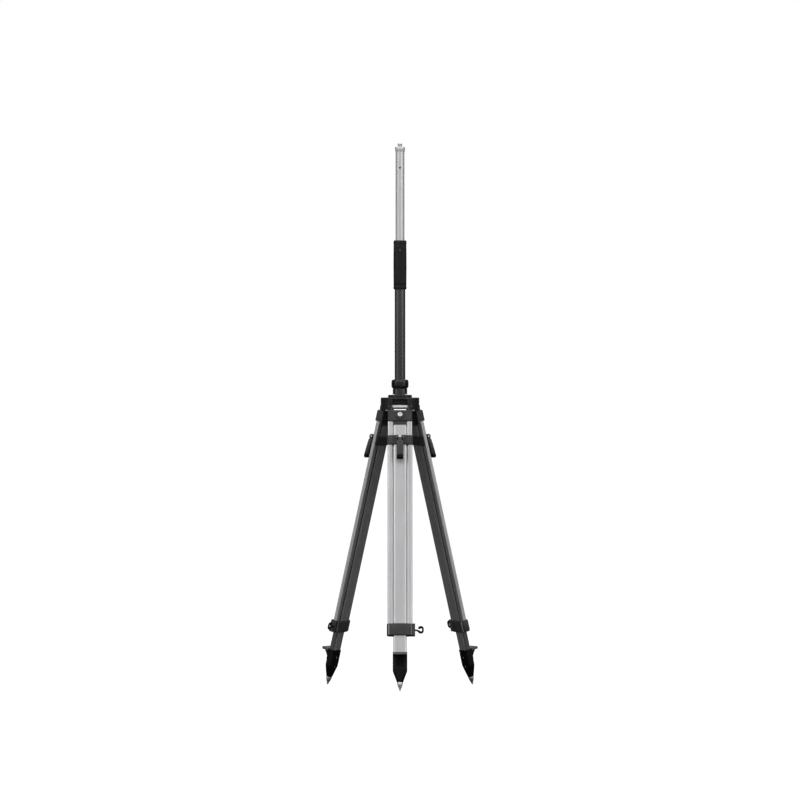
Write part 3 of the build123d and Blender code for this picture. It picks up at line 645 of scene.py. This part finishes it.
def make_stud_piece():
    """Threaded stud, 11 turns to the inch, with a chamfered nose."""
    low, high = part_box("top_stud")
    radius = (high.x - low.x) / 2
    pitch, depth = 25.4 * MM / 11, 0.95 * MM
    crest, flank = 0.15, 0.70
    nose_height, nose_slope = 1.3 * MM, 1.2
    cap_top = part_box("top_cap")[1].z
    start = cap_top - 0.2 * MM
    points_round, per_turn = 72, 12
    count = round((high.z - cap_top) / pitch * per_turn)
    rings = []
    for row in range(count + 1):
        level = start + (high.z - start) * row / count
        nose = max(0.0, level - (high.z - nose_height))
        ring = []
        for step in range(points_round):
            angle = math.tau * step / points_round
            phase = ((level - cap_top) / pitch - angle / math.tau) % 1.0
            groove = min(1.0, max(0.0, (abs(phase - 0.5) * 2 - crest) / flank))
            reach = min(radius - depth * groove, radius - nose * nose_slope)
            ring.append(Vector((reach * math.cos(angle), POLE_Y + reach * math.sin(angle), level)))
        rings.append(ring)
    on_pole(to_object("stud_thread", loft(rings)), THREAD_STEEL, "mast", "top_stud")


# Pieces of the legs, made once in leg coordinates and copied


# Half the depth of a clamp at its middle and beside its rounded ends
CLAMP_CROWN, CLAMP_EDGE = 17.5 * MM, 10.6 * MM
# Clear of a clamp's front and back, where the shapes that cut it end
CLEAR = 30 * MM


def clamp_lens(half_width):
    """Outline of a clamp across the leg: crowned front and back between rounded ends."""
    corner = half_width - 3.0 * MM
    sag = CLAMP_CROWN - CLAMP_EDGE
    radius = (corner**2 + sag**2) / (2 * sag)
    sweep = math.asin(corner / radius)
    steps = 20
    front = []
    for step in range(steps + 1):
        angle = -sweep + 2 * sweep * step / steps
        front.append((CLAMP_CROWN - radius + radius * math.cos(angle), radius * math.sin(angle)))
    ends = [(CLAMP_EDGE * 0.90, corner + 1.5 * MM), (CLAMP_EDGE * 0.62, half_width - 0.4 * MM)]
    ends.append((0.0, half_width))
    right = ends + [(-x, y) for x, y in reversed(ends[:-1])]
    half = front + right
    return half + [(-x, -y) for x, y in half]


def clamp_openings(clamp, low, high, rail_width):
    """Cuts the openings for the two rails and for the inner leg between them."""
    rails_low, rails_high = leg_box("leg_rails")
    leg_low, leg_high = leg_box("inner_leg")
    gap = 0.5 * MM
    start = max(low.z - MM, rails_low.z)
    rails = rounded_rectangle(rails_high.x - rails_low.x, rail_width, 3.0 * MM)
    combine(clamp, prism(rails, ACROSS, start, high.z + MM), "DIFFERENCE")
    inner = rounded_rectangle(leg_high.x - leg_low.x + 2 * gap, leg_high.y - leg_low.y + 2 * gap, 2.0 * MM)
    combine(clamp, prism(inner, ACROSS, low.z - MM, high.z + MM), "DIFFERENCE")


def cut_both_faces(clamp, outline, floor):
    """Cuts an outline into the front and the back, down to a distance from the middle plane."""
    for toward in (-1, 1):
        combine(clamp, prism(outline, FACE, toward * floor, toward * CLEAR), "DIFFERENCE")


def make_beads(low, high, sideways, count):
    """Upright bead in front and behind, near an end of a clamp; a count above 1 breaks it into studs."""
    margin, width, radius = 2.5 * MM, 3.2 * MM, 1.3 * MM
    base, crest = 9.0 * MM, 13.4 * MM
    spacing = (high.z - low.z - 2 * margin) / count
    share = 1.0 if count == 1 else 0.62
    beads = bmesh.new()
    for toward in (-1, 1):
        for index in range(count):
            middle = low.z + margin + spacing * (index + 0.5)
            outline = rounded_rectangle(width, spacing * share, radius, 4, (sideways, middle))
            gather(beads, prism(outline, FACE, toward * base, toward * crest))
    return beads


def make_lower_clamp_piece():
    """Clamp with a bead near one end, studs near the other, grooves beside both, and a threaded block."""
    low, high = leg_box("lower_clamp")
    rails_low, rails_high = leg_box("leg_rails")
    middle = (low.z + high.z) / 2
    block_start, block_depth = 38 * MM, 21.0 * MM
    groove_shift, groove_floor = 3.0 * MM, 9.6 * MM
    bead_across, studs_across = -36.5 * MM, 37.0 * MM
    clamp = to_object("template", prism(clamp_lens(43.6 * MM), ACROSS, low.z, high.z))
    round_edges(clamp, 2.2 * MM, 3, 50.0)
    block_middle = (0.0, (high.y + block_start) / 2)
    block = rounded_rectangle(block_depth, high.y - block_start, 1.6 * MM, 4, block_middle)
    combine(clamp, prism(block, ACROSS, low.z, high.z), "UNION")
    clamp_openings(clamp, low, high, rails_high.y - rails_low.y)
    for sideways in (bead_across, studs_across):
        for shift in (-groove_shift, groove_shift):
            place = (sideways + shift, middle)
            groove = rounded_rectangle(2.4 * MM, high.z - low.z - 3 * MM, 1.1 * MM, 4, place)
            cut_both_faces(clamp, groove, groove_floor)
    on_each_leg(clamp, "lower_clamp_shell", CLAMP_GREY, "leg", "lower_clamp")
    # Beads and studs carry the pale paint of a painted highlight
    for name, sideways, count in (("clamp_bead", bead_across, 1), ("clamp_studs", studs_across, 5)):
        beads = to_object("template", make_beads(low, high, sideways, count))
        on_each_leg(beads, name, PAINTED_BEAD_HIGHLIGHT, "leg")


def lever_pivot():
    """Middle of the lever's pin."""
    low, high = leg_box("lever_pin")
    return (low + high) / 2


def make_upper_band_piece():
    """Band round the rails, open at its sides, with two lugs for the lever, pockets and grooves."""
    low, high = leg_box("upper_band")
    pivot = lever_pivot()
    middle = (low.z + high.z) / 2
    band = to_object("template", prism(clamp_lens(43.0 * MM), ACROSS, low.z, high.z))
    round_edges(band, 2.0 * MM, 3, 50.0)
    lug_start, lug_radius, lug_gap, lug_width = 11 * MM, 7.9 * MM, 6.0 * MM, 4.9 * MM
    lug = [(lug_start, pivot.z - lug_radius), (pivot.x, pivot.z - lug_radius)]
    for step in range(1, 12):
        angle = math.radians(-90 + 180 * step / 12)
        lug.append((pivot.x + lug_radius * math.cos(angle), pivot.z + lug_radius * math.sin(angle)))
    lug += [(pivot.x, pivot.z + lug_radius), (lug_start, pivot.z + lug_radius)]
    for sideways in (-1, 1):
        edges = sorted((sideways * lug_gap, sideways * (lug_gap + lug_width)))
        combine(band, prism(lug, SIDE, *edges), "UNION")
    wider_than_band = 100 * MM
    clamp_openings(band, low, high, wider_than_band)
    window = rounded_rectangle(2 * lug_gap, 2 * lug_radius, 0.5 * MM, 2, (0.0, pivot.z))
    combine(band, prism(window, FACE, 5 * MM, 2 * CLEAR), "DIFFERENCE")
    for sideways in (-1, 1):
        pocket = rounded_rectangle(17 * MM, 19 * MM, 3.0 * MM, 5, (sideways * 23.5 * MM, middle))
        cut_both_faces(band, pocket, 14.3 * MM)
    for sideways in (-1, 1):
        place = (sideways * 36.8 * MM, middle)
        groove = rounded_rectangle(1.5 * MM, high.z - low.z - 7 * MM, 0.7 * MM, 4, place)
        cut_both_faces(band, groove, 10.8 * MM)
    on_each_leg(band, "upper_band_shell", CLAMP_GREY, "leg", "upper_band")


# Height of the darker block at the lever's free end
TIP_HEIGHT = 14 * MM


def make_lever_arm():
    """Channel-shaped arm with a rounded back and finger ribs, on a neck and a round hub."""
    low, high = leg_box("cam_lever")
    pivot = lever_pivot()
    half_width, wall = high.y, 3 * MM
    hub_radius, hub_half_width, pin_radius = 7.8 * MM, 5.6 * MM, 2.55 * MM
    ribs, first_rib, rib_spacing = 5, 14 * MM, 7.5 * MM
    top, bottom = pivot.z - 10 * MM, low.z + TIP_HEIGHT

    def at(out, level):
        """A point of a side outline, a number of millimetres outward of the pivot."""
        return (pivot.x + out * MM, level)

    arm = [at(-4, top), at(8.2, top), at(10.4, top - 20 * MM), at(12.0, low.z + 26 * MM)]
    arm += [at(12.9, bottom), at(-1, bottom)]
    lever = to_object("template", prism(arm, SIDE, -half_width, half_width))
    round_edges(lever, 2.0 * MM, 3, 40.0)
    hub = circle(hub_radius, 40, (pivot.x, pivot.z))
    neck = [at(-5, pivot.z - 3 * MM), at(7.8, pivot.z - MM), at(9, top - 6 * MM), at(-3.5, top - 6 * MM)]
    for outline in (hub, neck):
        combine(lever, prism(outline, SIDE, -hub_half_width, hub_half_width), "UNION")
    channel = [at(-8, top - 8 * MM), at(6.2, top - 8 * MM), at(9.2, bottom + 4 * MM), at(-8, bottom + 4 * MM)]
    combine(lever, prism(channel, SIDE, wall - half_width, half_width - wall), "DIFFERENCE")
    pin_hole = circle(pin_radius, 24, (pivot.x, pivot.z))
    combine(lever, prism(pin_hole, SIDE, -half_width, half_width), "DIFFERENCE")
    for index in range(ribs):
        level = top - first_rib - rib_spacing * index
        groove = rounded_rectangle(14 * MM, 1.6 * MM, 0.7 * MM, 4, (0.0, level))
        floor = pivot.x + (9.3 + 0.45 * index) * MM
        combine(lever, prism(groove, FACE, floor, floor + 10 * MM), "DIFFERENCE")
    on_each_leg(lever, "lever_arm", LEVER_PLASTIC, "lever", "cam_lever")


def make_lever_tip():
    """Darker block that closes the arm's free end, rounded underneath."""
    low, high = leg_box("cam_lever")
    start = lever_pivot().x
    overlap = 0.2 * MM
    outline = [(-1, TIP_HEIGHT - overlap), (13, TIP_HEIGHT - overlap), (13, 6 * MM), (12.2, 3 * MM)]
    outline += [(10.5, 0.9 * MM), (8, 0.0), (4, 0.0), (1.6, 2 * MM)]
    outline = [(start + out * MM, low.z + level) for out, level in outline]
    tip = to_object("template", prism(outline, SIDE, -high.y, high.y))
    round_edges(tip, 2.2 * MM, 4, 30.0)
    on_each_leg(tip, "lever_tip", LEVER_TIP, "lever")


def make_cam_insert():
    """Steel cam round the middle of the lever's hub, with chamfered rims."""
    pivot = lever_pivot()
    rings = []
    for y, radius in ((-5.0, 6.6), (-4.4, 7.9), (4.4, 7.9), (5.0, 6.6)):
        rings.append([Vector((pivot.x + x, y * MM, pivot.z + z)) for x, z in circle(radius * MM, 40)])
    on_each_leg(to_object("template", loft(rings)), "cam_insert", STEEL, "lever")


# The wing screw's oval loop: half its width and height, and how far its middle is over the screw's axis
LOOP_REACH, LOOP_RISE, LOOP_LIFT = 9.9 * MM, 12.9 * MM, 1.7 * MM
# Half the thickness of the loop in millimetres, by the angle along it in degrees
LOOP_THICKNESS = ((224, 4.0), (270, 4.3), (325, 3.3), (385, 3.0), (430, 4.1), (475, 4.7), (532, 3.8))
# The neck before it, in millimetres: inward of the loop's middle, under the axis, and half the thickness
NECK = ((17.9, 0.0, 3.1), (14.5, 0.0, 3.1), (12.2, 0.2, 3.1), (10.2, 1.4, 3.2))
# The loop's last section and the one before it, as shares of the full thickness and width
LOOP_END = ((0.55, 0.60), (0.92, 0.95))
# The screw itself: distance from the leg's middle plane and radius, in millimetres
SCREW = ((22.4, 3.4), (23.2, 3.95), (50.0, 3.95), (50.4, 2.3), (52.0, 2.3))


def stepwise(value, table):
    """Straight-line value between the rows of a table."""
    for (start, first), (end, last) in zip(table, table[1:]):
        if value <= end:
            return first + (last - first) * max(0.0, value - start) / (end - start)
    return table[-1][1]


def make_wing_piece():
    """Screw whose handle is an oval loop, curled back over the neck to a thick end."""
    high = leg_box("wing_screw")[1]
    middle_y, axis_z = high.y - LOOP_REACH, high.z - 14.4 * MM
    squareness = 0.7
    path = [(middle_y - inward * MM, axis_z - under * MM, thick * MM) for inward, under, thick in NECK]
    for angle in range(LOOP_THICKNESS[0][0], LOOP_THICKNESS[-1][0] + 1, 11):
        turn = math.radians(angle)
        thick = stepwise(angle, LOOP_THICKNESS) * MM
        y = middle_y + (LOOP_REACH - thick) * squared(math.cos(turn), squareness)
        z = axis_z + LOOP_LIFT + (LOOP_RISE - thick) * squared(math.sin(turn), squareness)
        path.append((y, z, thick))
    rings = []
    for index, (y, z, thick) in enumerate(path):
        before, after = path[max(0, index - 1)], path[min(len(path) - 1, index + 1)]
        heading = math.atan2(after[1] - before[1], after[0] - before[0])
        wide = (2.4 + 0.8 * min(1.0, index / 6)) * MM
        left = len(path) - 1 - index
        if left < 2:
            thick, wide = thick * LOOP_END[left][0], wide * LOOP_END[left][1]
        ring = []
        for x, off in circle(1.0, 20):
            reach = off * thick
            ring.append(Vector((x * wide, y - reach * math.sin(heading), z + reach * math.cos(heading))))
        rings.append(ring)
    wing = to_object("template", loft(rings))
    rings = []
    for y, radius in SCREW:
        rings.append([Vector((x, y * MM, axis_z + z)) for x, z in circle(radius * MM, 32)])
    combine(wing, loft(rings), "UNION")
    on_each_leg(wing, "wing_knob", WING_BLACK, "wing", "wing_screw")


def make_shoe_piece():
    """Moulded shoe that tapers to the spike, with a groove near each end and two panels on its inner face."""
    low, high = leg_box("foot_shoe")
    leg_low, leg_high = leg_box("inner_leg")
    width, depth = high.y - low.y, high.x - low.x
    nose, taper = low.z + 1.6 * MM, low.z + 39.5 * MM
    end_width = 20.6 * MM

    def ring(level, across, along, radius):
        return [Vector((x, y, level)) for x, y in rounded_rectangle(across, along, radius, 8)]

    def body_ring(level, inset):
        return ring(level, depth - 2 * inset * MM, width - 2 * inset * MM, 7 * MM)

    rings = [ring(low.z, end_width - 3 * MM, end_width - 3 * MM, 8.4 * MM)]
    rings.append(ring(low.z + 0.8 * MM, end_width - 1.2 * MM, end_width - 0.6 * MM, 9.4 * MM))
    rings.append(ring(nose, end_width - 0.6 * MM, end_width, 9.6 * MM))
    for share in (0.30, 0.60, 0.90, 0.985):
        level = nose + (taper - nose) * share
        across, along = (end_width + (full - end_width) * share for full in (depth, width))
        rings.append(ring(level, across, along, (9.6 - 2.6 * share) * MM))
    for level, inset in ((0.0, 0.1), (1.2, 0.0), (2.0, 0.0), (2.4, 0.5), (3.4, 0.5), (3.8, 0.0)):
        rings.append(body_ring(taper + level * MM, inset))
    mouth = ((12.0, 0.0), (11.2, 0.9), (10.0, 0.9), (9.2, 0.0), (1.2, 0.0), (0.4, 0.5), (0.0, 1.4))
    for drop, inset in mouth:
        rings.append(body_ring(high.z - drop * MM, inset))
    for level in (high.z, high.z - 20 * MM):
        rings.append(ring(level, leg_high.x - leg_low.x, leg_high.y - leg_low.y, 6 * MM))
    shoe = to_object("template", loft(rings))
    for sideways in (-12.5 * MM, 12.5 * MM):
        panel = rounded_rectangle(13 * MM, 34 * MM, 4 * MM, 5, (sideways, high.z - 48 * MM))
        combine(shoe, prism(panel, FACE, -20 * MM, low.x + 1.1 * MM), "DIFFERENCE")
    on_each_leg(shoe, "shoe_shell", SHOE_BLACK, "shank", "foot_shoe")


def make_rivets():
    """Two domed rivets on the shoe's inner face."""
    low, high = leg_box("foot_shoe")
    radius, dome, rim = 3.0 * MM, 1.3 * MM, 0.2 * MM
    seat = low.x + 0.9 * MM
    rivets = bmesh.new()
    for drop in (26 * MM, 58 * MM):
        head = []
        for share in (0.0, 0.25, 0.5, 0.75, 0.95):
            turn = share * math.pi / 2
            out = seat - (rim + dome * math.sin(turn))
            outline = circle(radius * math.cos(turn), 24)
            head.append([Vector((out, y, high.z - drop + z)) for y, z in outline])
        gather(rivets, loft(head))
    on_each_leg(to_object("template", rivets), "shoe_rivets", BRIGHT_STEEL, "shank")


def make_step_plate():
    """Ledge to tread the leg into the ground: flat below, toothed above, with round outer corners."""
    start = leg_box("foot_shoe")[1].x
    low, high = leg_box("foot_tread")
    teeth, tooth_height, thickness = 5, 0.8 * MM, 8 * MM
    root = high.z - tooth_height
    reach = high.x - start
    tooth_width = reach / teeth
    ledge = [(start, high.z - thickness), (high.x, high.z - thickness), (high.x, root)]
    for tooth in range(teeth):
        right = high.x - tooth_width * tooth
        ledge += [(right - 0.3 * tooth_width, high.z), (right - 0.7 * tooth_width, high.z)]
        ledge.append((right - tooth_width, root))
    tread = to_object("template", prism(ledge, SIDE, low.y, high.y))
    trim = rounded_rectangle(2 * reach, high.y - low.y, 5 * MM, centre=(start, 0.0))
    combine(tread, prism(trim, ACROSS, low.z - MM, high.z + MM), "INTERSECT")
    on_each_leg(tread, "step_plate", TREAD_GREY, "shank", "foot_tread")


def make_step_bracket():
    """Plate against the shoe, with two gussets that hold the step."""
    start = leg_box("foot_shoe")[1].x
    step_edge = leg_box("foot_tread")[1].x
    top = leg_box("foot_tread")[1].z
    plate_thickness, gusset_middle, gusset_half = 2.5 * MM, 6.5 * MM, 1.6 * MM
    plate = rounded_rectangle(34 * MM, 36 * MM, 4 * MM, centre=(0.0, top - 22.5 * MM))
    bracket = to_object("template", prism(plate, FACE, start, start + plate_thickness))
    gusset = [
        (start + MM, top - 2 * MM),
        (step_edge - 2.5 * MM, top - 2 * MM),
        (step_edge - 4.5 * MM, top - 11 * MM),
        (start + 12 * MM, top - 22 * MM),
        (start + 2 * MM, top - 40 * MM),
        (start + MM, top - 40 * MM),
    ]
    for middle in (-gusset_middle, gusset_middle):
        combine(bracket, prism(gusset, SIDE, middle - gusset_half, middle + gusset_half), "UNION")
    on_each_leg(bracket, "step_bracket", SHOE_BLACK, "shank")


make_collar_piece()
make_grip_piece()
make_stud_piece()
make_lower_clamp_piece()
make_upper_band_piece()
make_lever_arm()
make_lever_tip()
make_cam_insert()
make_wing_piece()
make_shoe_piece()
make_rivets()
make_step_plate()
make_step_bracket()


# Floor, light and camera


def make_floor():
    """A wide disc just under the object: nearly white to the camera, and dark in what reflects it."""
    radius, gap = 60.0, 0.2 * MM
    mesh = bpy.data.meshes.new("floor")
    shape = bmesh.new()
    bmesh.ops.create_circle(shape, cap_ends=True, radius=radius, segments=96)
    shape.to_mesh(mesh)
    shape.free()
    floor = bpy.data.objects.new("floor", mesh)
    floor.location.z = cad_low.z - gap
    bpy.context.scene.collection.objects.link(floor)
    pale = Nodes("floor_pale", 0.9, specular=0.0)
    pale.shader.inputs["Base Color"].default_value = (0.03, 0.03, 0.03, 1)
    glow = pale.add("ShaderNodeEmission", Strength=0.90)
    lit = pale.add("ShaderNodeBsdfDiffuse")
    lit.inputs["Color"].default_value = (0.20, 0.20, 0.20, 1)
    seen = pale.add("ShaderNodeAddShader")
    pale.link(glow.outputs[0], seen.inputs[0])
    pale.link(lit.outputs[0], seen.inputs[1])
    path = pale.add("ShaderNodeLightPath")
    mix = pale.add("ShaderNodeMixShader")
    pale.link(path.outputs["Is Camera Ray"], mix.inputs[0])
    pale.link(pale.shader.outputs[0], mix.inputs[1])
    pale.link(seen.outputs[0], mix.inputs[2])
    pale.link(mix.outputs[0], pale.tree.nodes["Material Output"].inputs["Surface"])
    mesh.materials.append(pale.material)


# Brightness of the studio by the y of a direction, from -1 at the front to 1 at the back
SURROUND = (
    (-1.0, 0.72),
    (-0.70, 0.72),
    (-0.58, 1.75),
    (-0.22, 1.75),
    (-0.10, 0.35),
    (0.0, 0.07),
    (0.74, 0.05),
    (0.90, 0.50),
    (1.0, 0.62),
)


def make_world():
    """White to the camera, while the object is lit by, and reflects, the brightness in SURROUND."""
    world = bpy.data.worlds.new("studio")
    bpy.context.scene.world = world
    world.use_nodes = True
    tree = world.node_tree
    tree.nodes.clear()

    def add(kind):
        return tree.nodes.new(kind)

    white, surround = add("ShaderNodeBackground"), add("ShaderNodeBackground")
    white.inputs["Color"].default_value = (1, 1, 1, 1)
    coordinates, split, half = add("ShaderNodeTexCoord"), add("ShaderNodeSeparateXYZ"), add("ShaderNodeMath")
    tree.links.new(coordinates.outputs["Generated"], split.inputs[0])
    half.operation = "MULTIPLY_ADD"
    half.inputs[1].default_value, half.inputs[2].default_value = 0.5, 0.5
    tree.links.new(split.outputs["Y"], half.inputs[0])
    ramp = add("ShaderNodeValToRGB")
    elements = ramp.color_ramp.elements
    while len(elements) < len(SURROUND):
        elements.new(0.5)
    for element, (place, level) in zip(elements, SURROUND):
        element.position = place / 2 + 0.5
        element.color = (level, level, level, 1.0)
    tree.links.new(half.outputs[0], ramp.inputs["Fac"])
    tree.links.new(ramp.outputs["Color"], surround.inputs["Color"])
    path, mix, output = add("ShaderNodeLightPath"), add("ShaderNodeMixShader"), add("ShaderNodeOutputWorld")
    tree.links.new(path.outputs["Is Camera Ray"], mix.inputs[0])
    tree.links.new(surround.outputs[0], mix.inputs[1])
    tree.links.new(white.outputs[0], mix.inputs[2])
    tree.links.new(mix.outputs[0], output.inputs[0])


def make_lamp(name, place, target, size, power):
    lamp = bpy.data.lights.new(name, "AREA")
    lamp.shape = "RECTANGLE"
    lamp.size, lamp.size_y = size
    lamp.energy = power
    lamp_object = bpy.data.objects.new(name, lamp)
    lamp_object.location = place
    lamp_object.rotation_euler = (Vector(target) - Vector(place)).to_track_quat("-Z", "Y").to_euler()
    lamp_object.visible_camera = False
    bpy.context.scene.collection.objects.link(lamp_object)


def make_lights():
    middle = (0.0, POLE_Y, 0.9)
    make_lamp("key", (-2.6, -4.2, 3.4), middle, (1.2, 1.8), 34.0)
    make_lamp("fill", (3.2, -3.6, 2.2), middle, (1.2, 1.8), 16.0)
    make_lamp("top", (0.0, 0.6, 4.6), middle, (3.0, 3.0), 60.0)
    make_lamp("back", (0.6, 4.0, 4.4), middle, (3.2, 2.2), 60.0)


def make_camera():
    """A long lens far in front, at a height between the head and the top stud."""
    distance, height, aim = 27.7, 1.44, 0.950
    frame_height = 2.65
    camera = bpy.data.cameras.new("camera")
    camera.sensor_width = 36.0
    camera.lens = camera.sensor_width * distance / frame_height
    camera.clip_end = 300.0
    camera_object = bpy.data.objects.new("camera", camera)
    camera_object.location = (0.0, POLE_Y - distance, height)
    look = Vector((0.0, POLE_Y, aim)) - camera_object.location
    camera_object.rotation_euler = look.to_track_quat("-Z", "Y").to_euler()
    bpy.context.scene.collection.objects.link(camera_object)
    bpy.context.scene.camera = camera_object


make_floor()
make_world()
make_lights()
make_camera()
bpy.context.scene.view_settings.view_transform = "Standard"
